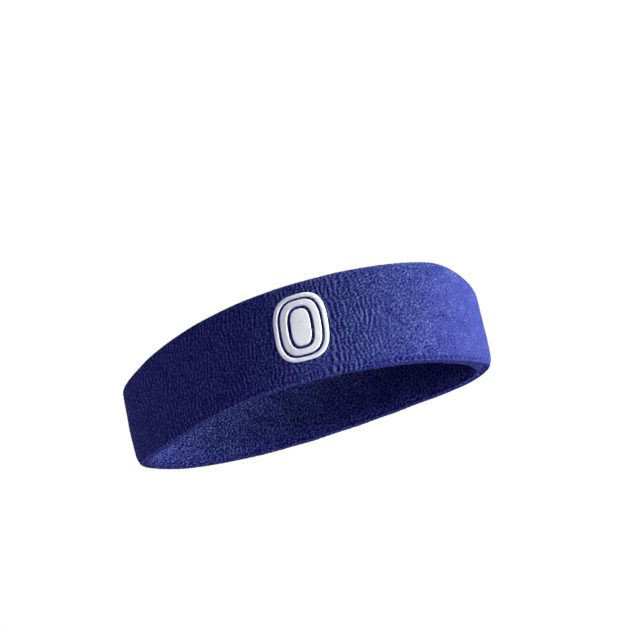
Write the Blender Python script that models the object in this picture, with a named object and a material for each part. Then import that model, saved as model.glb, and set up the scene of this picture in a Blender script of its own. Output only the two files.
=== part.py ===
"""Terry sports headband: a knitted terry tube folded double, with laid-in elastic and an embroidered badge.

Units are metres and +Z is up. The band stands on its lower rim, so a head passes through it along Z.
The long axis of the relaxed loop is X and the badge faces -Y. The middle of the bounding box's floor is
the origin. Two coordinates place everything on the band: "along" is the distance along the middle line
from the front point towards +X, and "out" is the distance from the middle line, outwards.
"""

import bpy
import numpy as np
from math import cos, pi, sin
from mathutils import Vector
from mathutils.geometry import interpolate_bezier

# Band
BAND_HEIGHT = 0.050
BAND_THICKNESS = 0.0060
FABRIC_THICKNESS = 0.0020
RIM_THICKNESS = 0.0044
RIM_TAPER_HEIGHT = 0.0050
RIM_CHAMFER = 0.0004
RIM_GAP = 0.0010

# Relaxed outline of the band's middle line at its two rims, seen from above: where the two folds and the
# outermost points in front and behind lie, and how far the curve keeps its direction at each
LOWER_RIM = {
    "left": (-0.0881, 0.0018), "front": (-0.0036, -0.0563),
    "right": (0.0822, -0.0021), "back": (-0.0211, 0.0268),
    "left_reach": (0.0072, 0.0105), "front_reach": (0.0415, 0.0620),
    "right_reach": (0.0129, 0.0083), "back_reach": (0.0378, 0.0378),
}
UPPER_RIM = {
    "left": (-0.0899, 0.0064), "front": (0.0059, -0.0489),
    "right": (0.0839, 0.0023), "back": (-0.0209, 0.0313),
    "left_reach": (0.0130, 0.0087), "front_reach": (0.0396, 0.0632),
    "right_reach": (0.0178, 0.0092), "back_reach": (0.0374, 0.0374),
}
FOLD_SMOOTHING = 0.0035

# At the left and the right fold the rims draw in, and the inner leg crowds inwards along the lower rim
LOWER_RIM_LIFT = (0.0031, 0.0024)
UPPER_RIM_DROP = (0.0060, 0.0082)
LOWER_DRAW_IN_POWER = (2.9, 8.3)
UPPER_DRAW_IN_POWER = (1.8, 8.3)
FOLD_CROWDING = (0.0048, 0.0058)
CROWDING_POWER = 7.5
FOLD_START = 0.45

# Closing seam along the lower rim, between the two layers
SEAM_WIDTH = 0.0013
SEAM_HEIGHTS = (0.0005, 0.0026)

# Laid-in elastic threads, between the layers
ELASTIC_COUNT = 6
ELASTIC_DIAMETER = 0.0007
ELASTIC_SIDES = 5
ELASTIC_OUT = -0.00035
ELASTIC_HEIGHTS = (0.0085, 0.0415)

# Embroidered badge: three nested upright ovals, which are a border, a ring and a filled centre
BADGE_ALONG = 0.0049
BADGE_CENTRE_HEIGHT = 0.0260
BADGE_SIZE = (0.0240, 0.0340)
BADGE_POWER = 2.9
BORDER_WIDTH = 0.0021
RING_GAP = 0.0010
RING_WIDTH = 0.0032
CENTRE_GAP = 0.0013
STITCH_OUT = (0.0033, 0.0042)
BACKING_OUT = (0.0003, 0.0006)
BACKING_MARGIN = 0.0025

# Resolution
OUTLINE_SAMPLES = 1200
STATIONS = 84
TURN_WEIGHT = 0.020
FOLD_STEPS = 8
BADGE_STEPS = 32
SHARP_ANGLE = 0.7


# --- the band's path -------------------------------------------------------------------------------------


def outline(rim):
    """A rim's middle line as a closed loop of points, evenly spaced, starting at the left fold's tip."""
    left, front, right, back = (Vector(rim[name]) for name in ("left", "front", "right", "back"))
    x, y = Vector((1, 0)), Vector((0, 1))
    spans = (
        (left, left - y * rim["left_reach"][0], front - x * rim["front_reach"][0], front),
        (front, front + x * rim["front_reach"][1], right - y * rim["right_reach"][0], right),
        (right, right + y * rim["right_reach"][1], back + x * rim["back_reach"][0], back),
        (back, back - x * rim["back_reach"][1], left + y * rim["left_reach"][1], left),
    )
    points = [point for span in spans for point in interpolate_bezier(*span, OUTLINE_SAMPLES // 4)[:-1]]
    loop = resample(np.array(points))
    # A soft fabric can't fold to a point, so a short moving average rounds the two folds.
    step = loop_length(loop) / len(loop)
    reach = round(FOLD_SMOOTHING / step)
    return resample(sum(np.roll(loop, shift, axis=0) for shift in range(-reach, reach + 1)) / (2 * reach + 1))


def loop_length(loop):
    return np.linalg.norm(np.roll(loop, -1, axis=0) - loop, axis=1).sum()


def resample(loop):
    """The same closed loop with OUTLINE_SAMPLES points at equal distances."""
    closed = np.vstack([loop, loop[:1]])
    walked = np.concatenate([[0], np.cumsum(np.linalg.norm(np.diff(closed, axis=0), axis=1))])
    at = np.linspace(0, walked[-1], OUTLINE_SAMPLES, endpoint=False)
    return np.column_stack([np.interp(at, walked, closed[:, 0]), np.interp(at, walked, closed[:, 1])])


def tangents(loop):
    along = np.roll(loop, -1, axis=0) - np.roll(loop, 1, axis=0)
    return along / np.linalg.norm(along, axis=1)[:, None]


def rim_table(rim, level, draw_in, power):
    """For each point of a rim: its place, the direction outwards and how far the inner leg crowds inwards."""
    line = outline(rim)
    forward = tangents(line)
    on_left = line[:, 0] < 0
    tip = np.where(on_left, -rim["left"][0], rim["right"][0])
    fold = np.clip((np.abs(line[:, 0]) / tip - FOLD_START) / (1 - FOLD_START), 0, 1)
    height = level + np.where(on_left, *draw_in) * fold ** np.where(on_left, *power)
    crowding = np.where(on_left, *FOLD_CROWDING) * fold**CROWDING_POWER
    return np.column_stack([line, height, forward[:, 1], -forward[:, 0], crowding])


class BandPath:
    """Turns (along, out, height) on the band into a point in space, between its lower and its upper rim."""

    def __init__(self):
        self.lower = rim_table(LOWER_RIM, 0, LOWER_RIM_LIFT, LOWER_DRAW_IN_POWER)
        self.upper = rim_table(UPPER_RIM, BAND_HEIGHT, [-drop for drop in UPPER_RIM_DROP], UPPER_DRAW_IN_POWER)
        middle = (self.lower[:, :2] + self.upper[:, :2]) / 2
        self.length = loop_length(middle)
        self.start = int(np.argmin(middle[:, 1]))
        forward = tangents(middle)
        self.heading = np.unwrap(np.arctan2(forward[:, 1], forward[:, 0]))

    def read(self, table, along):
        """A row of a rim's table at a distance along the band, between the two nearest samples."""
        at = (along / self.length * OUTLINE_SAMPLES + self.start) % OUTLINE_SAMPLES
        low = int(at)
        share = at - low
        return table[low % OUTLINE_SAMPLES] * (1 - share) + table[(low + 1) % OUTLINE_SAMPLES] * share

    def stations(self):
        """Distances along the band, closer together where it turns sharply."""
        step = self.length / OUTLINE_SAMPLES
        turn = np.abs(np.diff(self.heading, append=self.heading[0] + 2 * pi))
        effort = np.concatenate([[0], np.cumsum(step + TURN_WEIGHT * turn)])
        walked = np.arange(OUTLINE_SAMPLES + 1) * step
        even = np.linspace(0, effort[-1], STATIONS, endpoint=False)
        return np.interp(even, effort, walked) - self.start * step

    def point(self, along, out, height):
        share = height / BAND_HEIGHT
        mixed = self.read(self.lower, along) * (1 - share) + self.read(self.upper, along) * share
        x, y, z, outwards_x, outwards_y, crowding = mixed
        if out < 0:
            out *= 1 + crowding * (1 - share) / (BAND_THICKNESS / 2)
        return Vector((x + out * outwards_x, y + out * outwards_y, z))


# --- meshes ----------------------------------------------------------------------------------------------


def new_object(name, vertices, faces, material, collection):
    mesh = bpy.data.meshes.new(name)
    mesh.from_pydata(vertices, [], faces)
    mesh.shade_smooth()
    mesh.set_sharp_from_angle(angle=SHARP_ANGLE)
    mesh.materials.append(material)
    made = bpy.data.objects.new(name, mesh)
    collection.objects.link(made)
    return made


def swept_ring(name, path, section, material, collection):
    """A closed section of (out, height) points, anticlockwise, carried once round the band."""
    stations = path.stations()
    count = len(section)
    vertices = [path.point(along, out, height) for along in stations for out, height in section]
    faces = []
    for i in range(len(stations)):
        here, after = i * count, (i + 1) % len(stations) * count
        for j in range(count):
            k = (j + 1) % count
            faces.append((here + j, after + j, after + k, here + k))
    return new_object(name, vertices, faces, material, collection)


def plate(name, path, rings, outs, material, collection):
    """A thin plate on the band between two outlines, or inside one, from out=outs[0] to outs[1].

    Each outline is a list of (across, up) points about the badge's centre, anticlockwise from outside.
    With one outline the plate is filled to its centre.
    """
    outer = rings[0]
    inner = rings[1] if len(rings) > 1 else None
    count = len(outer)
    vertices = []
    for out in outs:
        for ring in rings:
            vertices += [badge_point(path, across, up, out) for across, up in ring]
        if inner is None:
            vertices.append(badge_point(path, 0, 0, out))
    layer = len(vertices) // 2
    faces = []
    for i in range(count):
        k = (i + 1) % count
        faces.append((i, k, layer + k, layer + i))
        if inner is None:
            faces.append((layer + i, layer + k, 2 * layer - 1))
            faces.append((k, i, layer - 1))
        else:
            faces.append((layer + i, layer + k, layer + count + k, layer + count + i))
            faces.append((k, i, count + i, count + k))
            faces.append((count + k, count + i, layer + count + i, layer + count + k))
    return new_object(name, vertices, faces, material, collection)


def badge_point(path, across, up, out):
    return path.point(BADGE_ALONG + across, out, BADGE_CENTRE_HEIGHT + up)


def oval(width, height):
    """A superellipse outline, which fills its corners a little more than an ellipse does."""
    points = []
    for i in range(BADGE_STEPS):
        turn = 2 * pi * i / BADGE_STEPS
        across = abs(cos(turn)) ** (2 / BADGE_POWER) * (1 if cos(turn) >= 0 else -1)
        up = abs(sin(turn)) ** (2 / BADGE_POWER) * (1 if sin(turn) >= 0 else -1)
        points.append((across * width / 2, up * height / 2))
    return points


# --- the pieces ------------------------------------------------------------------------------------------


def tube_section():
    """The folded tube: two legs joined by a round fold on top, open between the legs at the bottom."""
    outside = BAND_THICKNESS / 2
    inside = outside - FABRIC_THICKNESS
    centre = BAND_HEIGHT - outside
    arc = [pi * i / FOLD_STEPS for i in range(FOLD_STEPS + 1)]
    over = [(outside * cos(turn), centre + outside * sin(turn)) for turn in arc]
    under = [(inside * cos(turn), centre + inside * sin(turn)) for turn in reversed(arc[::2])]
    edge = RIM_THICKNESS / 2
    outer_edge = [(RIM_GAP, 0), (edge - RIM_CHAMFER, 0), (edge, RIM_CHAMFER), (outside, RIM_TAPER_HEIGHT)]
    inner_edge = [(-out, height) for out, height in reversed(outer_edge)]
    return outer_edge + over + inner_edge + under


def seam_section():
    half = SEAM_WIDTH / 2
    low, high = SEAM_HEIGHTS
    return [(half, low), (half, high), (-half, high), (-half, low)]


def elastic_section(height):
    radius = ELASTIC_DIAMETER / 2
    turns = [2 * pi * i / ELASTIC_SIDES for i in range(ELASTIC_SIDES)]
    return [(ELASTIC_OUT + radius * cos(turn), height + radius * sin(turn)) for turn in turns]


def make_badge(path, thread, backing, collection):
    width, height = BADGE_SIZE
    border = [oval(width, height), oval(width - 2 * BORDER_WIDTH, height - 2 * BORDER_WIDTH)]
    inset = 2 * (BORDER_WIDTH + RING_GAP)
    ring = [oval(width - inset, height - inset)]
    inset += 2 * RING_WIDTH
    ring.append(oval(width - inset, height - inset))
    inset += 2 * CENTRE_GAP
    centre = [oval(width - inset, height - inset)]
    sheet = [oval(width + 2 * BACKING_MARGIN, height + 2 * BACKING_MARGIN)]
    plate("embroidery_border", path, border, STITCH_OUT, thread, collection)
    plate("embroidery_ring", path, ring, STITCH_OUT, thread, collection)
    plate("embroidery_centre", path, centre, STITCH_OUT, thread, collection)
    plate("embroidery_backing", path, sheet, BACKING_OUT, backing, collection)


def new_material(name, colour, roughness):
    material = bpy.data.materials.new(name)
    material.use_nodes = True
    surface = material.node_tree.nodes["Principled BSDF"]
    surface.inputs["Base Color"].default_value = (*colour, 1)
    surface.inputs["Roughness"].default_value = roughness
    surface.inputs["Metallic"].default_value = 0
    return material


def stand_on_origin(collection):
    """Moves every mesh so that the middle of the bounding box's floor is the origin."""
    points = np.array([vertex.co for made in collection.objects for vertex in made.data.vertices])
    low, high = points.min(axis=0), points.max(axis=0)
    shift = -Vector(((low[0] + high[0]) / 2, (low[1] + high[1]) / 2, low[2]))
    for made in collection.objects:
        for vertex in made.data.vertices:
            vertex.co += shift


def main():
    for old in list(bpy.data.objects):
        bpy.data.objects.remove(old, do_unlink=True)
    collection = bpy.data.collections.new("Terry headband")
    bpy.context.scene.collection.children.link(collection)
    terry = new_material("royal blue terry", (0.045, 0.055, 0.34), 0.95)
    seam = new_material("navy seam thread", (0.02, 0.025, 0.16), 0.8)
    elastic = new_material("covered elastic", (0.60, 0.60, 0.58), 0.7)
    thread = new_material("white embroidery thread", (0.86, 0.86, 0.92), 0.45)
    backing = new_material("white cut-away backing", (0.80, 0.80, 0.78), 0.9)

    path = BandPath()
    swept_ring("terry_tube", path, tube_section(), terry, collection)
    swept_ring("linking_seam", path, seam_section(), seam, collection)
    for i, height in enumerate(np.linspace(*ELASTIC_HEIGHTS, ELASTIC_COUNT)):
        swept_ring(f"elastic_thread_{i + 1}", path, elastic_section(height), elastic, collection)
    make_badge(path, thread, backing, collection)
    stand_on_origin(collection)


main()
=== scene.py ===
"""The looks of the terry sports headband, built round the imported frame. Units are metres and +Z is up.

Places on the band are given, as in the CAD, by "along", the distance along the middle line from the front
point towards +X, "out", the distance from the middle line outwards, and "height" above the lower rim.
"""

from math import cos, pi, radians, sin

import bpy
import numpy as np
from mathutils import Matrix, Vector
from mathutils.geometry import interpolate_bezier


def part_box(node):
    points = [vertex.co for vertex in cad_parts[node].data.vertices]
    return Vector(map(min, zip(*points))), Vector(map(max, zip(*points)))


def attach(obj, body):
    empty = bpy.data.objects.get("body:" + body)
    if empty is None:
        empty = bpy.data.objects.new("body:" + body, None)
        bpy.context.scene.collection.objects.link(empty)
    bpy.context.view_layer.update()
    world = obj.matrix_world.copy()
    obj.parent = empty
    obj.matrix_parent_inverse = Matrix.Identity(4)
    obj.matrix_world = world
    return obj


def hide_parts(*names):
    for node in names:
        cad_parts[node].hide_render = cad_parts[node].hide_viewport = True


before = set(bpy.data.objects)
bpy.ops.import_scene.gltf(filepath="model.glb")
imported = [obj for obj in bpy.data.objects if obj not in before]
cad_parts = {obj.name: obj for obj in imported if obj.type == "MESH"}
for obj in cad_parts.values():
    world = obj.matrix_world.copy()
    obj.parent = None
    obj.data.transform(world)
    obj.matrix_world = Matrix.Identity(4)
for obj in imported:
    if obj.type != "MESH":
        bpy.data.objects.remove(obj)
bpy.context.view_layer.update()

MM = 0.001

# The band. These are the CAD's own sizes and places. A rim's outline is given by where its two folds and its
# outermost points in front and behind lie, and by how far the curve keeps its direction at each. Pairs of
# numbers for the folds are for the left and the right one.
BAND_HEIGHT = 0.050
HALF_THICKNESS = 0.0030
FABRIC_THICKNESS = 0.0020
RIM_TAPER_HEIGHT = 0.0050
LOWER_RIM = {
    "left": (-0.0881, 0.0018), "front": (-0.0036, -0.0563),
    "right": (0.0822, -0.0021), "back": (-0.0211, 0.0268),
    "left_reach": (0.0072, 0.0105), "front_reach": (0.0415, 0.0620),
    "right_reach": (0.0129, 0.0083), "back_reach": (0.0378, 0.0378),
}
UPPER_RIM = {
    "left": (-0.0899, 0.0064), "front": (0.0059, -0.0489),
    "right": (0.0839, 0.0023), "back": (-0.0209, 0.0313),
    "left_reach": (0.0130, 0.0087), "front_reach": (0.0396, 0.0632),
    "right_reach": (0.0178, 0.0092), "back_reach": (0.0374, 0.0374),
}
FOLD_SMOOTHING = 0.0035
LOWER_RIM_LIFT = (0.0031, 0.0024)
UPPER_RIM_DROP = (0.0060, 0.0082)
LOWER_DRAW_IN_POWER = (2.9, 8.3)
UPPER_DRAW_IN_POWER = (1.8, 8.3)
FOLD_CROWDING = (0.0048, 0.0058)
CROWDING_POWER = 7.5
FOLD_START = 0.45
ELASTIC_COUNT = 6
ELASTIC_OUT = -0.00035
ELASTIC_HEIGHTS = (0.0085, 0.0415)
BADGE_ALONG = 0.0049
BADGE_CENTRE_HEIGHT = 0.0260
BADGE_SIZE = (0.0240, 0.0340)
BADGE_POWER = 2.9
BORDER_WIDTH = 0.0021
RING_GAP = 0.0010
RING_WIDTH = 0.0032
CENTRE_GAP = 0.0013
BACKING_OUT = 0.00045
BACKING_MARGIN = 0.0025
PATH_SAMPLES = 2400
OVAL_SAMPLES = 4000

# One leg's cross-section: the rounded rim with the seam's channel in its middle, the taper above it up to
# the wall, the wall's slight bulge, and the groove that the notches lie in
RIM_HALF = 2.0 * MM
RIM_HEIGHT = 1.1 * MM
RIM_START_TURN = 0.02
RIM_TAPER = 2.6 * MM
RIM_TAPER_POWER = 1.5
CHANNEL_DEPTH = 0.4 * MM
CHANNEL_HALF = 0.45 * MM
WALL_BULGE = 0.30 * MM
WALL_BULGE_POWER = 0.6
GROOVE_DEPTH = 0.22 * MM
GROOVE_HALF = 0.6 * MM
CURVE_STEPS = 60
WALL_STEPS = 600
LAYER_GAP_HALF = 0.05 * MM
LINING_CLOSES = (6 * MM, 2.4 * MM)

# The knit's mesh, and the sizes of what it shows
STATIONS = 868
ROWS = 108
SEED = 20
SHARP_ANGLE = 1.3
LOOP_SIZE = 1.08 * MM
WIDE_LOOP_SIZE = 2.3 * MM
WIDE_LOOP_CUT = 0.92
LOOP_DEPTH = 0.13 * MM
SWELL_DEPTH = 0.10 * MM
RIB_PITCH = 1.95 * MM
WIDE_RIB_PITCH = 2.2 * MM
RIB_RUN = 5.2 * MM
RIB_DRIFT = 0.5 * MM
RIB_SLANT = 0.08
NOTCH_COUNT = 140
NOTCH_HEIGHT = 1.45 * MM
NOTCH_DEPTH = 0.7 * MM
NOTCH_HALF_HEIGHT = 0.55 * MM
NOTCH_HALF_SHARE = 0.22

# Where the knit changes. The first number of a pair is where a feature is absent and the second is where it
# is full, so in a pair that marks its end the first is the larger.
# Distances along from the front point:
SLANT_START = (9 * MM, 20 * MM)
WIDE_RIBS_START = (6 * MM, 16 * MM)
WIDE_RIBS_END = (90 * MM, 60 * MM)
RIBS_START = (-110 * MM, -80 * MM)
RIBS_END = (48 * MM, 17 * MM)
RIBS_END_WANDER = 5 * MM
STRAY_RIBS_BEYOND = 70 * MM
CALM_START = (28 * MM, 45 * MM)
CALM_END = (150 * MM, 110 * MM)
CALMER_START = (50 * MM, 80 * MM)
DEEP_NOTCHES_START = (20 * MM, 50 * MM)
# Distances walked up the leg from the middle of the rim:
BARE_RIM = (0.9 * MM, 0.3 * MM)
NOTCHES_FROM = 1.5 * MM
# Heights:
FOLD_TOP = (BAND_HEIGHT - 2.5 * MM, BAND_HEIGHT - 0.3 * MM)
# Values of the patchy noise, which has a spread of 1:
STRAY_RIBS_PATCH = (0.8, 1.8)
INNER_RIBS_PATCH = (0.2, 1.4)

# How strong each feature of the knit is, from 0 to 1
STRAY_RIBS = 0.6
INNER_RIBS = 0.25
CALM = 0.32
EXTRA_CALM = 0.32
INNER_CALM = 0.05
FOLD_CALM = 0.35
OUTER_NOTCHES = 0.4
INNER_NOTCHES = 0.2

# The stitches of the badge. They lie a little lower than their solids, so that they sink into the pile.
STITCH_OUT = (0.0028, 0.00385)
STITCH_PITCH = 0.48 * MM
STITCH_LENGTH = 3.4 * MM
SATIN_RELIEF = 0.08 * MM
FILL_RELIEF = 0.06 * MM
FILL_SLANT = 0.25
JOINT_DEPTH = 0.05 * MM
PAD_EDGE_RISE = 0.15 * MM
PAD_EDGE_ROUND = 0.55 * MM

# The threads of the closing seam, which run from notch to notch, and what lies inside
SEAM_THREAD_RADIUS = 0.20 * MM
SEAM_THREAD_HEIGHT = 0.26 * MM
SEAM_THREAD_END_RISE = 0.10 * MM
SEAM_THREAD_BOW = 0.38 * MM
SEAM_THREAD_HALF_SHARE = 0.46
ELASTIC_RADIUS = 0.33 * MM
BACKING_HALF = 0.06 * MM
PUCKER_WAVES = 12
PUCKER_DEPTH = 0.02 * MM
PUCKER_TIGHTNESS = 900


# --- the band's path -------------------------------------------------------------------------------------


def outline(rim):
    """A rim's middle line as a closed loop of evenly spaced points, starting at the left fold's tip."""
    left, front, right, back = (Vector(rim[name]) for name in ("left", "front", "right", "back"))
    x, y = Vector((1, 0)), Vector((0, 1))
    spans = (
        (left, left - y * rim["left_reach"][0], front - x * rim["front_reach"][0], front),
        (front, front + x * rim["front_reach"][1], right - y * rim["right_reach"][0], right),
        (right, right + y * rim["right_reach"][1], back + x * rim["back_reach"][0], back),
        (back, back - x * rim["back_reach"][1], left + y * rim["left_reach"][1], left),
    )
    steps = PATH_SAMPLES // len(spans)
    loop = resample(np.array([p for span in spans for p in interpolate_bezier(*span, steps)[:-1]]))
    reach = round(FOLD_SMOOTHING * len(loop) / loop_length(loop))
    return resample(sum(np.roll(loop, i, axis=0) for i in range(-reach, reach + 1)) / (2 * reach + 1))


def resample(loop):
    """The same closed loop with its points at equal distances."""
    closed = np.vstack([loop, loop[:1]])
    walked = np.concatenate([[0], np.cumsum(np.linalg.norm(np.diff(closed, axis=0), axis=1))])
    at = np.linspace(0, walked[-1], PATH_SAMPLES, endpoint=False)
    return np.column_stack([np.interp(at, walked, closed[:, i]) for i in (0, 1)])


def rim_table(rim, level, draw_in, power):
    """For each point of a rim: its place, the direction outwards and how far the inner leg crowds inwards."""
    line = outline(rim)
    forward = np.roll(line, -1, axis=0) - np.roll(line, 1, axis=0)
    forward /= np.linalg.norm(forward, axis=1)[:, None]
    on_left = line[:, 0] < 0
    tip = np.where(on_left, -rim["left"][0], rim["right"][0])
    fold = np.clip((np.abs(line[:, 0]) / tip - FOLD_START) / (1 - FOLD_START), 0, 1)
    height = level + np.where(on_left, *draw_in) * fold ** np.where(on_left, *power)
    crowding = np.where(on_left, *FOLD_CROWDING) * fold**CROWDING_POWER
    return np.column_stack([line, height, forward[:, 1], -forward[:, 0], crowding])


class BandPath:
    """Turns arrays of (along, out, height) on the band into points in space, between its two rims."""

    def __init__(self):
        self.lower = rim_table(LOWER_RIM, 0, LOWER_RIM_LIFT, LOWER_DRAW_IN_POWER)
        sink = [-drop for drop in UPPER_RIM_DROP]
        self.upper = rim_table(UPPER_RIM, BAND_HEIGHT, sink, UPPER_DRAW_IN_POWER)
        middle = (self.lower[:, :2] + self.upper[:, :2]) / 2
        self.length = loop_length(middle)
        self.start = int(np.argmin(middle[:, 1]))
        self.shift = np.zeros(3)
        self.shift = self.frame_shift()

    def frame_shift(self):
        """From this path's own origin to the frame's, by the CAD tube's box."""
        low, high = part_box("terry_tube")
        along = np.linspace(0, self.length, 4 * PATH_SAMPLES)
        widest = (RIM_TAPER_HEIGHT, BAND_HEIGHT - HALF_THICKNESS)
        edge = np.vstack([self.points(along, HALF_THICKNESS, height) for height in widest])
        middle = (edge.min(axis=0) + edge.max(axis=0)) / 2
        return np.array([(low[0] + high[0]) / 2 - middle[0], (low[1] + high[1]) / 2 - middle[1], 0])

    def read(self, table, along):
        """A rim's table at these distances along, between its two nearest points."""
        at = np.mod(along / self.length * PATH_SAMPLES + self.start, PATH_SAMPLES)
        low = np.floor(at).astype(int)
        share = (at - low)[..., None]
        return table[low % PATH_SAMPLES] * (1 - share) + table[(low + 1) % PATH_SAMPLES] * share

    def points(self, along, out, height):
        """Points in space. Inside the middle line, distances out are longer where the inner leg crowds."""
        along, out, height = np.broadcast_arrays(np.asarray(along, float), out, height)
        share = (height / BAND_HEIGHT)[..., None]
        mixed = self.read(self.lower, along) * (1 - share) + self.read(self.upper, along) * share
        crowding = mixed[..., 5] * (1 - share[..., 0]) / HALF_THICKNESS
        out = np.where(out < 0, out * (1 + crowding), out)
        return mixed[..., :3] + mixed[..., 3:5] @ np.eye(2, 3) * out[..., None] + self.shift


def loop_length(loop):
    """The length of a closed loop of points."""
    return np.linalg.norm(np.roll(loop, -1, axis=0) - loop, axis=1).sum()


# --- meshes ----------------------------------------------------------------------------------------------


def new_piece(name, vertices, faces, material, node, values=None, uv=None):
    """A mesh object that rides on the band and stands for a CAD node. values are named numbers for each
    vertex, which its material reads, and uv is a function that strip_uv gives."""
    mesh = bpy.data.meshes.new(name)
    mesh.from_pydata(np.reshape(vertices, (-1, 3)).tolist(), [], [list(face) for face in faces])
    for key, numbers in (values or {}).items():
        layer = mesh.attributes.new(key, "FLOAT", "POINT")
        layer.data.foreach_set("value", np.asarray(numbers, np.float32).ravel())
    if uv is not None:
        corners = np.empty(len(mesh.loops), np.int32)
        mesh.loops.foreach_get("vertex_index", corners)
        layer = mesh.uv_layers.new(name="OFBake")
        layer.data.foreach_set("uv", uv(corners).astype(np.float32).ravel())
    mesh.shade_smooth()
    mesh.materials.append(material)
    made = bpy.data.objects.new(name, mesh)
    bpy.context.scene.collection.objects.link(made)
    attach(made, "root")
    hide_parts(node)
    return made


def ring_faces(around, across):
    """Quads of a grid that closes both ways: around stations, each a closed section of across points."""
    i = np.repeat(np.arange(around), across)
    j = np.tile(np.arange(across), around)
    after, up = (i + 1) % around, (j + 1) % across
    return np.stack([i * across + j, after * across + j, after * across + up, i * across + up], axis=1)


# --- fields over the knit --------------------------------------------------------------------------------


def field(rng, gain, around, across, step_around, step_across):
    """Smooth noise of spread 1 that closes round the band, with the wavelengths that gain lets through."""
    noise = rng.standard_normal((around, across))
    u = np.fft.fftfreq(around, step_around)[:, None]
    v = np.fft.rfftfreq(across, step_across)[None, :]
    made = np.fft.irfft2(np.fft.rfft2(noise) * gain(u, v), s=noise.shape)
    return (made - made.mean()) / made.std()


def loops(u, v):
    """Tangled loops: every size down to one loop's, and less of the widest."""
    wave = np.hypot(u, v)
    return np.exp(-((wave * LOOP_SIZE) ** 6)) * (1 - WIDE_LOOP_CUT * np.exp(-((wave * WIDE_LOOP_SIZE) ** 2)))


def ribs(pitch, spread):
    """Upright wavy wales. spread is how far their pitch varies, as a share of it."""
    return lambda u, v: np.exp(-(((np.abs(u) * pitch - 1) / spread) ** 2)) * np.exp(-((v * RIB_RUN) ** 2))


def soft(size):
    """Broad noise with nothing much finer than this size."""
    return lambda u, v: np.exp(-((np.hypot(u, v) * size) ** 2))


def sway(values, reach):
    """The same field with each point read from reach cells further along the band."""
    stations = np.arange(len(values))
    columns = [np.interp(stations + reach[:, j], stations, values[:, j], period=len(values))
               for j in range(values.shape[1])]
    return np.column_stack(columns)


def smooth_step(low, high, x):
    """0 at low and 1 at high, with a smooth change between them."""
    t = np.clip((x - low) / (high - low), 0, 1)
    return t * t * (3 - 2 * t)


def wrapped(along, centre, length):
    """Distance along the band from a centre, the short way round, with its sign."""
    return np.mod(along - centre + length / 2, length) - length / 2


# --- the terry -------------------------------------------------------------------------------------------


def leg_profile(rows):
    """The visible side of one leg, from the middle of the rim, up the wall, to the top of the fold.

    Gives evenly spaced (out, height), the unit normal of each, and the distance walked.
    """
    crest = BAND_HEIGHT - HALF_THICKNESS
    points = []
    for turn in np.linspace(RIM_START_TURN, pi / 2, CURVE_STEPS):
        channel = CHANNEL_DEPTH * np.exp(-((RIM_HALF * sin(turn) / CHANNEL_HALF) ** 2))
        points.append((RIM_HALF * sin(turn), RIM_HEIGHT * (1 - cos(turn)) + channel))
    for height in np.linspace(RIM_HEIGHT, crest, WALL_STEPS)[1:]:
        share = (height - RIM_HEIGHT) / (crest - RIM_HEIGHT)
        above = (height - RIM_HEIGHT) / RIM_TAPER
        taper = (HALF_THICKNESS - RIM_HALF) * np.exp(-(above**RIM_TAPER_POWER))
        bulge = WALL_BULGE * sin(pi * share) ** WALL_BULGE_POWER
        groove = GROOVE_DEPTH * np.exp(-(((height - NOTCH_HEIGHT) / GROOVE_HALF) ** 2))
        points.append((HALF_THICKNESS - taper + bulge - groove, height))
    for turn in np.linspace(0, pi / 2, CURVE_STEPS)[1:]:
        points.append((HALF_THICKNESS * cos(turn), crest + HALF_THICKNESS * sin(turn)))
    points = np.array(points)
    walked = np.concatenate([[0], np.cumsum(np.linalg.norm(np.diff(points, axis=0), axis=1))])
    at = np.linspace(0, walked[-1], rows)
    even = np.column_stack([np.interp(at, walked, points[:, i]) for i in (0, 1)])
    tangent = np.gradient(even, axis=0)
    tangent[-1] = (-1, 0)
    tangent /= np.linalg.norm(tangent, axis=1)[:, None]
    return even, np.column_stack([tangent[:, 1], -tangent[:, 0]]), at


def lining_profile():
    """The hidden side of the same leg, from the top of the fold back down to the seam."""
    inside = HALF_THICKNESS - FABRIC_THICKNESS
    crest = BAND_HEIGHT - HALF_THICKNESS
    draws_in, meets = LINING_CLOSES
    return np.array([
        (LAYER_GAP_HALF, crest + inside), (inside * 0.8, crest + inside * 0.5), (inside, crest - 1 * MM),
        (inside, BAND_HEIGHT / 2), (inside, draws_in), (LAYER_GAP_HALF, meets),
    ])


def knit_noises(rng, path, step_across):
    """The noises behind the knit, for the outer and for the inner leg. Each runs on over the fold."""
    gains = {
        "patch": soft(16 * MM), "drift": soft(18 * MM), "swell": soft(22 * MM), "mottle": soft(4.5 * MM),
        "fine": loops, "narrow": ribs(RIB_PITCH, spread=0.32), "wide": ribs(WIDE_RIB_PITCH, spread=0.30),
    }
    size = (STATIONS, 2 * ROWS - 1, path.length / STATIONS, step_across)
    made = {name: field(rng, gain, *size) for name, gain in gains.items()}
    outer = {name: whole[:, :ROWS] for name, whole in made.items()}
    inner = {name: whole[:, :ROWS - 2:-1] for name, whole in made.items()}
    return outer, inner


def outer_zones(noise, near):
    """For the outer leg: the share of ribs in its pile, the share of wide ones among them, and its calm."""
    patch = noise["patch"]
    ribs_share = smooth_step(*RIBS_END, near + RIBS_END_WANDER * patch) * smooth_step(*RIBS_START, near)
    stray = STRAY_RIBS * smooth_step(*STRAY_RIBS_PATCH, patch) * (np.abs(near) > STRAY_RIBS_BEYOND)
    wide_share = smooth_step(*WIDE_RIBS_START, near) * smooth_step(*WIDE_RIBS_END, near)
    calm = smooth_step(*CALM_START, near) * smooth_step(*CALM_END, near)
    calm = calm * (CALM + EXTRA_CALM * smooth_step(*CALMER_START, near))
    return np.maximum(ribs_share, stray), wide_share, calm


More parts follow.
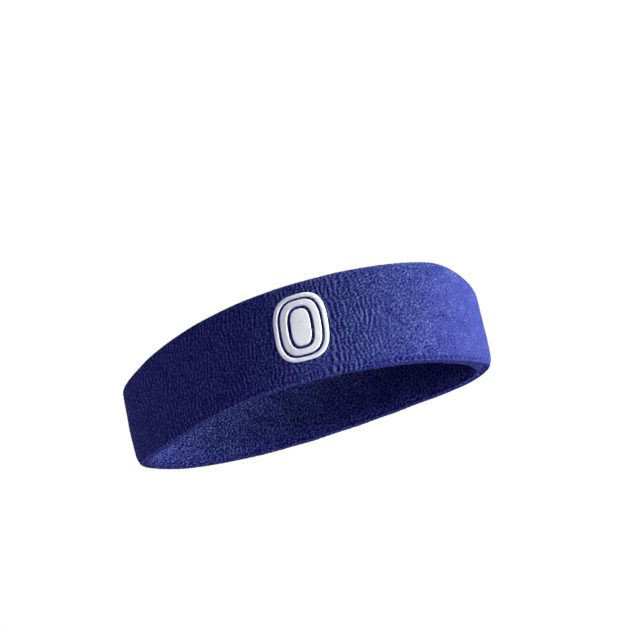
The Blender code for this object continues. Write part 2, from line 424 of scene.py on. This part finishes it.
def notches(path, side, along, height, walked):
    """How much of a notch each point has: the closing stitches draw the rim in once every pitch."""
    pitch = path.length / NOTCH_COUNT
    beat = wrapped(along, 0, pitch) / pitch
    level = (height - NOTCH_HEIGHT) / NOTCH_HALF_HEIGHT
    notch = np.exp(-((beat / NOTCH_HALF_SHARE) ** 2)) * np.exp(-(level**2))
    near = wrapped(along, 0, path.length)
    depth = INNER_NOTCHES
    if side > 0:
        depth = OUTER_NOTCHES + (1 - OUTER_NOTCHES) * smooth_step(*DEEP_NOTCHES_START, near)
    return notch * (walked > NOTCHES_FROM) * depth


def knit(noise, path, side):
    """Height of the pile over one leg, in metres, and what the material reads: pile, as painted shade, and
    curl, from 0 to 1.
    """
    profile, _, walked = leg_profile(ROWS)
    step_around = path.length / STATIONS
    along = np.arange(STATIONS)[:, None] * step_around
    near = wrapped(along, 0, path.length)
    height, walked = profile[None, :, 1], walked[None, :]
    lean = RIB_DRIFT * noise["drift"]
    if side > 0:
        share, wide, calm = outer_zones(noise, near)
        lean = lean + RIB_SLANT * (height - BAND_HEIGHT / 2) * smooth_step(*SLANT_START, near)
        upright = 0.75 * noise["narrow"] * (1 - wide) + 1.5 * noise["wide"] * wide
    else:
        share, wide, calm = INNER_RIBS * smooth_step(*INNER_RIBS_PATCH, noise["patch"]), 0, INNER_CALM
        upright = noise["narrow"]
    upright = sway(upright, lean / step_around)

    # The top of the fold has no ribs, and a calmer pile.
    top = smooth_step(*FOLD_TOP, height)
    share = share * (1 - top)
    calm = calm * (1 - top) + FOLD_CALM * top

    # Each kind of pile is a noise squeezed to between -1 and 1, and the ribs carry some of the tangled loops.
    tangle = np.tanh(0.85 * noise["fine"])
    ribbed = np.tanh(1.10 * (0.70 * upright + (0.70 - 0.25 * wide) * noise["fine"]))
    pile = (tangle * (1 - share) + ribbed * share) * (1 - calm)

    bare = smooth_step(*BARE_RIM, walked)
    notch = notches(path, side, along, height, walked)
    lift = pile * LOOP_DEPTH * (0.95 + 0.12 * noise["patch"]) * (1 - 0.2 * bare) - NOTCH_DEPTH * notch
    lift = lift + SWELL_DEPTH * noise["swell"] * (1 - bare)

    # Painted shade: low points, notches and the rim's bare underside are coloured darker; ribs and calm pile
    # have less curl.
    pile_shade = 0.5 + 0.5 * pile + 0.04 * noise["mottle"] - 0.12 * bare
    pile_shade = np.clip(pile_shade, 0, 1) ** 1.2 * (1 - 0.8 * notch)
    curl = (1 - calm) * (1 - 0.6 * share) * (1 - notch)
    return lift, pile_shade, curl


def make_terry(path, material):
    """The tube's two legs, which meet along the top of the fold."""
    profile, normal, walked = leg_profile(ROWS)
    lining = lining_profile()
    along = (np.arange(STATIONS) * path.length / STATIONS)[:, None]
    noises = knit_noises(np.random.default_rng(SEED), path, walked[1])
    for name, side, noise in zip(("terry_outer_leg", "terry_inner_leg"), (1, -1), noises):
        lift, pile_shade, curl = knit(noise, path, side)
        out = side * (profile[:, 0] + lift * normal[:, 0])
        height = profile[:, 1] + lift * normal[:, 1]
        hidden = np.broadcast_to(lining, (STATIONS, *lining.shape))
        out = np.concatenate([out, side * hidden[..., 0]], axis=1)
        height = np.maximum(np.concatenate([height, hidden[..., 1]], axis=1), 0)
        across = out.shape[1]
        faces = ring_faces(STATIONS, across)
        if side < 0:
            faces = faces[:, ::-1]
        flat = np.zeros((STATIONS, len(lining)))
        values = {
            # The pile value is painted shade: darker at low points, in the notches and under the rim.
            "pile": np.concatenate([pile_shade, flat + 0.5], axis=1),
            "curl": np.concatenate([curl, flat], axis=1),
        }
        leg = new_piece(name, path.points(along, out, height), faces, material, "terry_tube",
                        values, strip_uv(STATIONS, across, len(faces)))
        leg.data.set_sharp_from_angle(angle=SHARP_ANGLE)


def strip_uv(around, across, count, strips=3, margins=(0.005, 0.01)):
    """Lays the band out flat as strips with margins, one above the other, so that a baked map has even
    detail. Gives a function from the face corners' vertex numbers to their places in the map."""
    def lay(corners):
        i, j = corners // across, corners % across
        face = np.repeat(np.arange(count), 4)
        i_face, j_face = face // across, face % across
        i = np.where((i_face == around - 1) & (i == 0), around, i)
        j = np.where((j_face == across - 1) & (j == 0), across, j)
        per_strip = int(np.ceil(around / strips))
        row = i_face // per_strip
        u = margins[0] + (1 - 2 * margins[0]) * (i - row * per_strip) / per_strip
        v = (row + margins[1] + (1 - 2 * margins[1]) * j / across) / strips
        return np.column_stack([u, v])
    return lay


# --- the closing seam and what lies inside ----------------------------------------------------------------


def make_seam(path, material):
    """A row of chain stitches in the channel under the rim: each is two short bowed lengths of thread."""
    sides, rings = 6, 9
    pitch = path.length / NOTCH_COUNT
    turn = np.linspace(0, pi, rings)
    around = 2 * pi * np.arange(sides)[None, :, None] / sides
    vertices, faces = [], []
    for k in range(2 * NOTCH_COUNT):
        lean = 1 if k % 2 else -1
        along = (k // 2 + 0.5) * pitch + SEAM_THREAD_HALF_SHARE * pitch * np.cos(turn)
        out = lean * SEAM_THREAD_BOW * np.sin(turn)
        height = SEAM_THREAD_HEIGHT + SEAM_THREAD_END_RISE * np.cos(turn) ** 2
        middle = path.points(along, out, height)
        tangent = np.gradient(middle, axis=0)
        tangent /= np.linalg.norm(tangent, axis=1)[:, None]
        across = np.cross(tangent, (0, 0, 1.0))
        across /= np.linalg.norm(across, axis=1)[:, None]
        over = np.cross(across, tangent)
        radius = SEAM_THREAD_RADIUS * (0.6 + 0.4 * np.sin(turn))[:, None, None]
        circle = np.cos(around) * across[:, None] + np.sin(around) * over[:, None]
        base = len(vertices)
        vertices += list((middle[:, None] + radius * circle).reshape(-1, 3))
        for r in range(rings - 1):
            for s in range(sides):
                row, t = base + r * sides, (s + 1) % sides
                faces.append((row + s, row + t, row + sides + t, row + sides + s))
        faces.append([base + s for s in reversed(range(sides))])
        faces.append([base + (rings - 1) * sides + s for s in range(sides)])
    new_piece("linking_stitches", vertices, faces, material, "linking_seam")


def make_elastics(path, material):
    """Elastic cores, each with a covering yarn wound round it."""
    stations, sides, winds = 600, 8, 120
    along = (np.arange(stations) * path.length / stations)[:, None]
    turn = 2 * pi * np.arange(sides)[None, :] / sides
    wind = 2 * pi * winds * np.arange(stations)[:, None] / stations
    radius = ELASTIC_RADIUS * (0.88 + 0.12 * np.cos(2 * turn - wind))
    for i, height in enumerate(np.linspace(*ELASTIC_HEIGHTS, ELASTIC_COUNT)):
        points = path.points(along, ELASTIC_OUT + radius * np.cos(turn), height + radius * np.sin(turn))
        new_piece(f"covered_elastic_{i + 1}", points, ring_faces(stations, sides), material,
                  f"elastic_thread_{i + 1}")


def make_backing(path, material):
    """The cut-away backing: a thin sheet behind the badge, a little puckered by the stitches."""
    rng = np.random.default_rng(SEED + 2)
    width, height = (side + 2 * BACKING_MARGIN for side in BADGE_SIZE)
    outer = even_oval(240, width, height)
    # Rows of points close in on the middle and stop just short of it.
    share = np.linspace(0, 0.996, 40)[None, :, None]
    flat = outer[:, None] * (1 - share)
    pucker = 0
    for _ in range(PUCKER_WAVES):
        way, shift = rng.normal(0, PUCKER_TIGHTNESS, 2), rng.uniform(0, 2 * pi)
        pucker = pucker + PUCKER_DEPTH * np.sin(flat @ way + shift)
    middle = BACKING_OUT + pucker
    sheet = layered(path, "backing_sheet", flat, middle + BACKING_HALF, middle - BACKING_HALF, material,
                    "embroidery_backing")


# --- materials -------------------------------------------------------------------------------------------


class Nodes:
    """The node tree of a material or a world, with short calls for the few nodes that the recipes use."""

    def __init__(self, owner):
        self.owner = owner
        owner.use_nodes = True
        self.tree = owner.node_tree
        self.surface = self.tree.nodes.get("Principled BSDF")

    def add(self, kind, **settings):
        node = self.tree.nodes.new(kind)
        for key, value in settings.items():
            setattr(node, key, value)
        return node

    def link(self, output, target):
        self.tree.links.new(output, target)

    def attribute(self, name):
        return self.add("ShaderNodeAttribute", attribute_name=name).outputs["Fac"]

    def place(self):
        return self.add("ShaderNodeTexCoord").outputs["Object"]

    def noise(self, scale, detail=3.0, roughness=0.6):
        """Noise in space. scale is about how many of its features fit in a metre."""
        node = self.add("ShaderNodeTexNoise")
        node.inputs["Scale"].default_value = scale
        node.inputs["Detail"].default_value = detail
        node.inputs["Roughness"].default_value = roughness
        self.link(self.place(), node.inputs["Vector"])
        return node.outputs["Fac"]

    def ramp(self, value, stops):
        """A colour ramp. stops are (position, colour)."""
        node = self.add("ShaderNodeValToRGB")
        node.color_ramp.interpolation = "EASE"
        while len(node.color_ramp.elements) < len(stops):
            node.color_ramp.elements.new(1)
        for element, (position, colour) in zip(node.color_ramp.elements, stops):
            element.position = position
            element.color = (*colour, 1)
        self.link(value, node.inputs["Fac"])
        return node.outputs["Color"]

    def mix(self, share, first, second, blend="MIX"):
        node = self.add("ShaderNodeMix", data_type="RGBA", blend_type=blend)
        for socket, value in ((node.inputs[0], share), (node.inputs[6], first), (node.inputs[7], second)):
            if isinstance(value, (float, int)):
                socket.default_value = value
            elif isinstance(value, tuple):
                socket.default_value = (*value, 1)
            else:
                self.link(value, socket)
        return node.outputs[2]

    def maths(self, operation, first, second=0.5):
        node = self.add("ShaderNodeMath", operation=operation)
        for socket, value in zip(node.inputs, (first, second)):
            if isinstance(value, (float, int)):
                socket.default_value = value
            else:
                self.link(value, socket)
        return node.outputs[0]

    def span(self, value, low, high, start=0.0, end=1.0):
        """Turns start to end into low to high, and stays at low or high beyond them."""
        node = self.add("ShaderNodeMapRange")
        node.inputs["From Min"].default_value = start
        node.inputs["From Max"].default_value = end
        node.inputs["To Min"].default_value = low
        node.inputs["To Max"].default_value = high
        self.link(value, node.inputs["Value"])
        return node.outputs["Result"]

    def either(self, share, first, second):
        """The first shader where share is 0, and the second where it is 1."""
        node = self.add("ShaderNodeMixShader")
        for socket, output in zip(node.inputs, (share, first, second)):
            self.link(output, socket)
        return node.outputs[0]

    def bump(self, value, strength, distance):
        node = self.add("ShaderNodeBump")
        node.inputs["Strength"].default_value = strength
        node.inputs["Distance"].default_value = distance
        self.link(value, node.inputs["Height"])
        self.link(node.outputs["Normal"], self.surface.inputs["Normal"])

    def sheen(self, weight, roughness, tint):
        self.surface.inputs["Sheen Weight"].default_value = weight
        self.surface.inputs["Sheen Roughness"].default_value = roughness
        self.surface.inputs["Sheen Tint"].default_value = (*tint, 1)


def material_nodes(name):
    return Nodes(bpy.data.materials.new(name))


def terry_material():
    """Cotton loops: painted shade between the loops, painted light at their tips, with uneven dye and a soft
    bloom.
    """
    n = material_nodes("royal blue terry")
    pile = n.attribute("pile")
    # Each loop is a thin curled thread, a painted highlight on painted shade: the lines where a noise passes
    # through its middle value.
    away = n.maths("ABSOLUTE", n.maths("SUBTRACT", n.noise(640, 1, 0.5), 0.5))
    thread = n.span(away, 0.50, -0.50, end=0.11)
    lit = n.maths("ADD", pile, n.maths("MULTIPLY", thread, n.maths("MULTIPLY", n.attribute("curl"), 0.42)))
    # Painted light and shade: from dark shade between the loops to light on the lit tips and threads.
    tips = n.ramp(lit, [(0.0, (0.0013, 0.0016, 0.048)), (0.40, (0.0190, 0.0226, 0.148)),
                        (1.0, (0.077, 0.098, 0.252))])
    # The dye varies over about a centimetre, and the yarn's light and shade over half a millimetre.
    dye = n.span(n.noise(90, 4), 0.88, 1.12)
    yarn = n.span(n.noise(2600, 2, 0.7), 0.70, 1.30)
    shade = n.maths("MULTIPLY", dye, yarn)
    grey = n.add("ShaderNodeCombineColor")
    for i in range(3):
        n.link(shade, grey.inputs[i])
    n.link(n.mix(1.0, tips, grey.outputs[0], "MULTIPLY"), n.surface.inputs["Base Color"])
    n.link(n.span(n.noise(1500, 2), 0.80, 1.0), n.surface.inputs["Roughness"])
    n.surface.inputs["Specular IOR Level"].default_value = 0.02
    n.sheen(0.10, 0.5, (0.42, 0.50, 1.0))
    n.link(n.span(lit, 0.03, 0.16), n.surface.inputs["Sheen Weight"])
    n.bump(n.noise(2200, 3, 0.7), 0.7, 0.00035)
    return n.owner


def seam_material():
    n = material_nodes("blue seam thread")
    n.link(n.ramp(n.noise(1800, 3), [(0.3, (0.006, 0.008, 0.06)), (0.7, (0.018, 0.022, 0.14))]),
           n.surface.inputs["Base Color"])
    n.surface.inputs["Roughness"].default_value = 0.85
    n.surface.inputs["Specular IOR Level"].default_value = 0.10
    n.sheen(0.1, 0.4, (0.4, 0.5, 1.0))
    n.bump(n.noise(2600, 2), 0.5, 0.0001)
    return n.owner


def embroidery_material():
    """White thread, faintly blue in the painted shade of the stitches and a little uneven where they crowd.
    """
    n = material_nodes("white embroidery thread")
    light = n.maths("MULTIPLY", n.attribute("stitch"), n.span(n.noise(520, 3), 0.70, 1.28))
    n.link(n.ramp(light, [(0.0, (0.41, 0.43, 0.60)), (0.5, (0.80, 0.81, 0.87)), (1.0, (0.94, 0.95, 0.95))]),
           n.surface.inputs["Base Color"])
    n.link(n.span(n.noise(1200, 2), 0.55, 0.75), n.surface.inputs["Roughness"])
    n.surface.inputs["Specular IOR Level"].default_value = 0.25
    n.sheen(0.1, 0.3, (1.0, 1.0, 1.0))
    n.bump(n.noise(1100, 4, 0.7), 0.6, 0.0004)
    return n.owner


def elastic_material():
    n = material_nodes("covered elastic")
    n.link(n.ramp(n.noise(1500, 3), [(0.3, (0.45, 0.45, 0.43)), (0.7, (0.66, 0.66, 0.64))]),
           n.surface.inputs["Base Color"])
    n.surface.inputs["Roughness"].default_value = 0.7
    n.bump(n.noise(2400, 2), 0.5, 0.0001)
    return n.owner


def backing_material():
    n = material_nodes("non-woven backing")
    n.link(n.ramp(n.noise(700, 5), [(0.3, (0.62, 0.62, 0.60)), (0.7, (0.82, 0.82, 0.80))]),
           n.surface.inputs["Base Color"])
    n.surface.inputs["Roughness"].default_value = 0.9
    n.bump(n.noise(900, 5), 0.6, 0.0002)
    return n.owner


# --- the badge -------------------------------------------------------------------------------------------


def even_oval(count, width, height):
    """A superellipse outline, anticlockwise, with points at equal distances."""
    turn = np.linspace(0, 2 * pi, OVAL_SAMPLES + 1)
    across = np.sign(np.cos(turn)) * np.abs(np.cos(turn)) ** (2 / BADGE_POWER) * width / 2
    up = np.sign(np.sin(turn)) * np.abs(np.sin(turn)) ** (2 / BADGE_POWER) * height / 2
    walked = np.concatenate([[0], np.cumsum(np.hypot(np.diff(across), np.diff(up)))])
    at = np.linspace(0, walked[-1], count, endpoint=False)
    return np.column_stack([np.interp(at, walked, across), np.interp(at, walked, up)])


def layered(path, name, flat, top, bottom, material, node, values=None):
    """A closed piece on the band, between two surfaces over flat, which are (across, up) points about the
    badge's centre in rows from an outer outline to an inner one."""
    both = np.concatenate([flat, flat[:, ::-1]], axis=1)
    out = np.concatenate([top, bottom[:, ::-1]], axis=1)
    points = path.points(BADGE_ALONG + both[..., 0], out, BADGE_CENTRE_HEIGHT + both[..., 1])
    doubled = {key: np.concatenate([value, 0 * value], axis=1) for key, value in (values or {}).items()}
    return new_piece(name, points, ring_faces(*out.shape), material, node, doubled)


def stitched(path, name, outer, inner, columns, stitch, material, node):
    """A pad of stitches between two outlines, in columns of points, rounded at its edges. stitch(flat, share)
    gives its relief in metres and its painted light and shade, from 0 to 1."""
    share = 0.5 - 0.5 * np.cos(np.linspace(0, pi, columns))
    # Without an inner outline, the rows of points close in on the middle and stop just short of it.
    if inner is None:
        share = 0.998 * (1 - np.cos(np.linspace(0, pi / 2, columns)))
        inner = 0 * outer
    flat = outer[:, None] * (1 - share[None, :, None]) + inner[:, None] * share[None, :, None]
    width = np.linalg.norm(outer - inner, axis=1)[:, None]
    from_edge = width * share[None, :]
    if inner.any():
        from_edge = np.minimum(from_edge, width * (1 - share[None, :]))
    rounded = np.sqrt(1 - (1 - np.clip(from_edge / PAD_EDGE_ROUND, 0, 1)) ** 2)
    relief, light = stitch(flat, share[None, :] + 0 * width)
    low, high = STITCH_OUT
    top = low + PAD_EDGE_RISE + (high - low - PAD_EDGE_RISE + relief) * rounded
    # Painted shade: the thread is coloured darker where the pad's edge rounds down into the pile.
    light = light * (0.55 + 0.45 * rounded)
    layered(path, name, flat, top, low + 0 * top, material, node, {"stitch": light})


def make_badge(path, material):
    """Three nested ovals: a satin-stitched border, and a ring and a centre filled with rows of stitches."""
    rng = np.random.default_rng(SEED + 1)
    width, height = BADGE_SIZE

    def satin(flat, share):
        """Stitches across the border, side by side along it."""
        count = len(flat)
        waver = np.cumsum(rng.normal(0, 0.05, count))
        waver = (waver - waver[-1] * np.arange(count) / count)[:, None]
        stitches = round(np.linalg.norm(np.diff(flat[:, 0], axis=0), axis=1).sum() / STITCH_PITCH)
        wave = np.cos(2 * pi * (stitches * np.arange(count)[:, None] / count + 0.35 * share) + waver)
        # Painted light and shade: each stitch's crown is coloured lighter and the groove between stitches
        # darker.
        return SATIN_RELIEF * wave, 0.70 + 0.30 * wave

    def fill(slant):
        """Rows of short stitches, staggered like bricks."""
        def stitch(flat, share):
            row = (flat[..., 1] + slant * flat[..., 0]) / STITCH_PITCH
            wave = np.cos(2 * pi * row)
            joint = np.cos(2 * pi * (flat[..., 0] / STITCH_LENGTH + np.mod(np.round(row), 3) / 3)) > 0.93
            # Painted light and shade: each row's crown is coloured lighter, and the grooves between rows and
            # the joints darker.
            return FILL_RELIEF * wave - JOINT_DEPTH * joint, 0.72 + 0.25 * wave - 0.12 * joint
        return stitch

    def inside(inset, count):
        """The badge's outline moved in by inset, with count points."""
        return even_oval(count, width - 2 * inset, height - 2 * inset)

    rows = 960
    outer, inner = inside(0, rows), inside(BORDER_WIDTH, rows)
    stitched(path, "badge_border", outer, inner, 13, satin, material, "embroidery_border")

    rows = 720
    inset = BORDER_WIDTH + RING_GAP
    outer, inner = inside(inset, rows), inside(inset + RING_WIDTH, rows)
    stitched(path, "badge_ring", outer, inner, 32, fill(FILL_SLANT), material, "embroidery_ring")

    rows = 480
    outer = inside(inset + RING_WIDTH + CENTRE_GAP, rows)
    stitched(path, "badge_centre", outer, None, 90, fill(-FILL_SLANT), material, "embroidery_centre")


# --- floor, light and camera -----------------------------------------------------------------------------

# Angles are in degrees. Azimuth 0 is in front, at -Y, and 90 is at +X. The lens and the sensor are in
# millimetres.
CAMERA_TARGET = (0.0097, 0, 0.0523)
CAMERA_AZIMUTH = 5.68
CAMERA_ELEVATION = -22.28
CAMERA_ROLL = 13.86
CAMERA_DISTANCE = 0.7235
CAMERA_LENS = 85.16
CAMERA_SENSOR = 36
CAMERA_CLIP_START = 0.01

# Name, azimuth, elevation, power and colour
LAMPS = (
    ("key", 85.5, 18, 30, (0.95, 1.10, 0.76)),
    ("edge", -130, 0, 1.5, (1.0, 1.0, 1.0)),
    ("under", 84, -44, 9.0, (1.0, 0.90, 1.02)),
)
LAMP_DISTANCE = 0.9
LAMP_SIZE = 0.45

FLOOR_HALF = 3.0

# The even light from all round: its colour, and its strength against the height of its direction, which is
# 0 level with the band and 1 straight above or below. The steeper it comes, the weaker it is.
EVEN_COLOUR = (0.98, 0.86, 1.36)
EVEN_HEIGHTS = (0.10, 0.65)
EVEN_STRENGTHS = (0.72, 0.03)
# Some more comes from straight below.
BELOW_HEIGHTS = (-0.8, -1.0)
BELOW_STRENGTHS = (0.0, 0.8)


def direction(azimuth, elevation):
    """The direction from the band towards something at these angles."""
    a, e = radians(azimuth), radians(elevation)
    return Vector((sin(a) * cos(e), -cos(a) * cos(e), sin(e)))


def make_camera(path):
    camera = bpy.data.objects.new("camera", bpy.data.cameras.new("camera"))
    bpy.context.scene.collection.objects.link(camera)
    back = direction(CAMERA_AZIMUTH, CAMERA_ELEVATION)
    turn = (-back).to_track_quat("-Z", "Y").to_matrix() @ Matrix.Rotation(-radians(CAMERA_ROLL), 3, "Z")
    place = Vector(CAMERA_TARGET + path.shift) + back * CAMERA_DISTANCE
    camera.matrix_world = Matrix.Translation(place) @ turn.to_4x4()
    camera.data.sensor_width = CAMERA_SENSOR
    camera.data.lens = CAMERA_LENS
    camera.data.clip_start = CAMERA_CLIP_START
    bpy.context.scene.camera = camera


def make_lamp(name, azimuth, elevation, power, colour):
    """A soft square lamp that faces the band."""
    lamp = bpy.data.lights.new(name, "AREA")
    lamp.shape = "SQUARE"
    lamp.size = LAMP_SIZE
    lamp.energy = power
    lamp.color = colour
    made = bpy.data.objects.new(name, lamp)
    bpy.context.scene.collection.objects.link(made)
    back = direction(azimuth, elevation)
    made.location = Vector((0, 0, BAND_HEIGHT / 2)) + back * LAMP_DISTANCE
    made.rotation_mode = "QUATERNION"
    made.rotation_quaternion = back.to_track_quat("Z", "Y")


def make_floor():
    """A pale floor that shows from above only, because the camera looks up from below it."""
    corners = [(-1, -1), (1, -1), (1, 1), (-1, 1)]
    mesh = bpy.data.meshes.new("floor")
    mesh.from_pydata([(x * FLOOR_HALF, y * FLOOR_HALF, 0) for x, y in corners], [], [(0, 1, 2, 3)])
    floor = bpy.data.objects.new("floor", mesh)
    bpy.context.scene.collection.objects.link(floor)
    n = material_nodes("pale floor")
    n.link(n.ramp(n.noise(3, 2), [(0.0, (0.125, 0.110, 0.148)), (1.0, (0.140, 0.122, 0.165))]),
           n.surface.inputs["Base Color"])
    n.surface.inputs["Roughness"].default_value = 1.0
    n.surface.inputs["Specular IOR Level"].default_value = 0.0
    n.surface.inputs["Emission Color"].default_value = (0.70, 0.70, 0.71, 1)
    n.surface.inputs["Emission Strength"].default_value = 1.0
    from_below = n.add("ShaderNodeNewGeometry").outputs["Backfacing"]
    clear = n.add("ShaderNodeBsdfTransparent").outputs[0]
    seen = n.either(from_below, n.surface.outputs[0], clear)
    n.link(seen, n.tree.nodes["Material Output"].inputs["Surface"])
    mesh.materials.append(n.owner)
    floor.visible_shadow = False
    floor.visible_diffuse = False


def make_world():
    """White where the camera sees it, and a weaker, even light on the band."""
    world = bpy.data.worlds.new("studio")
    bpy.context.scene.world = world
    n = Nodes(world)
    way = n.add("ShaderNodeSeparateXYZ")
    n.link(n.add("ShaderNodeTexCoord").outputs["Generated"], way.inputs[0])
    height = way.outputs["Z"]
    even = n.span(n.maths("ABSOLUTE", height), *EVEN_STRENGTHS, *EVEN_HEIGHTS)
    below = n.span(height, *BELOW_STRENGTHS, *BELOW_HEIGHTS)
    light = n.tree.nodes["Background"]
    light.inputs["Color"].default_value = (*EVEN_COLOUR, 1)
    n.link(n.maths("ADD", even, below), light.inputs["Strength"])
    white = n.add("ShaderNodeBackground")
    white.inputs["Color"].default_value = (1, 1, 1, 1)
    by_camera = n.add("ShaderNodeLightPath").outputs["Is Camera Ray"]
    seen = n.either(by_camera, light.outputs[0], white.outputs[0])
    n.link(seen, n.tree.nodes["World Output"].inputs["Surface"])


def build():
    path = BandPath()
    make_terry(path, terry_material())
    make_seam(path, seam_material())
    make_elastics(path, elastic_material())
    make_backing(path, backing_material())
    make_badge(path, embroidery_material())
    make_floor()
    make_world()
    for lamp in LAMPS:
        make_lamp(*lamp)
    make_camera(path)
    bpy.context.scene.view_settings.view_transform = "Standard"


build()
